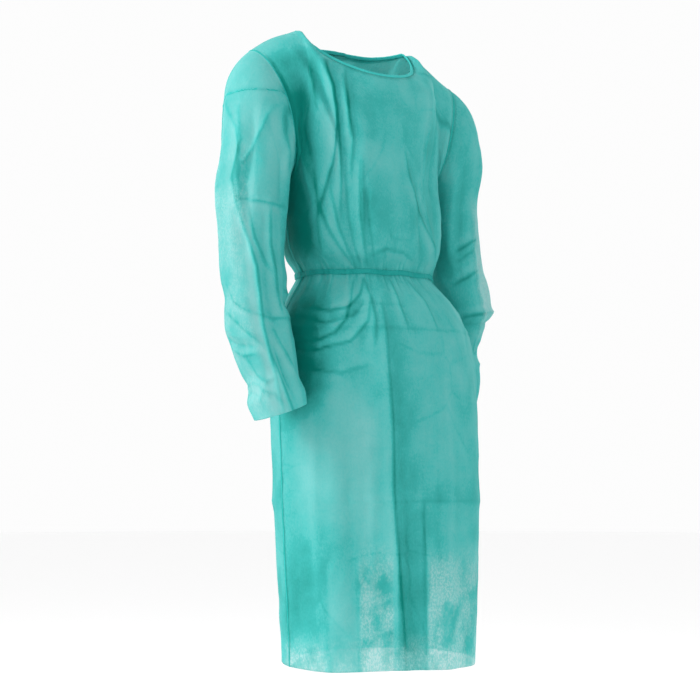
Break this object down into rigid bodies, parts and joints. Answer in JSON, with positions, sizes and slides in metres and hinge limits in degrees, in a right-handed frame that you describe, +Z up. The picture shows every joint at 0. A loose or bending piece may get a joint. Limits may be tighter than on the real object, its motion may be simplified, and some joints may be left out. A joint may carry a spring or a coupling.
{
  "type": "isolation gown",
  "caption": "Thin nonwoven isolation gown in its worn form: long sleeves, bound round neck, tied waist, open lapped back and a calf-length skirt.",
  "frame": {"origin": "midway between the two places where the shoulder seams meet the neck, where the wearer's shoulders carry the gown", "axes": "+Z up, -Y towards the gown's front, +X towards the wearer's left"},
  "size_m": [0.5846, 0.3148, 1.1519],
  "materials": {
    "nonwoven": "thin translucent spunbond cloth",
    "trim": "folded nonwoven strip"
  },
  "bodies": {
    "root": {"front": "nonwoven", "back_left": "nonwoven", "back_right": "nonwoven", "sleeve_left": "nonwoven", "sleeve_right": "nonwoven", "neck_binding_front": "trim", "neck_binding_left": "trim", "neck_binding_right": "trim", "neck_knot": "trim", "neck_tie_end_left": "trim", "neck_tie_end_right": "trim", "waist_tie_front": "trim", "waist_tie_left": "trim", "waist_tie_right": "trim", "waist_knot": "trim", "waist_tie_end_left": "trim", "waist_tie_end_right": "trim"}
  },
  "joints": []
}
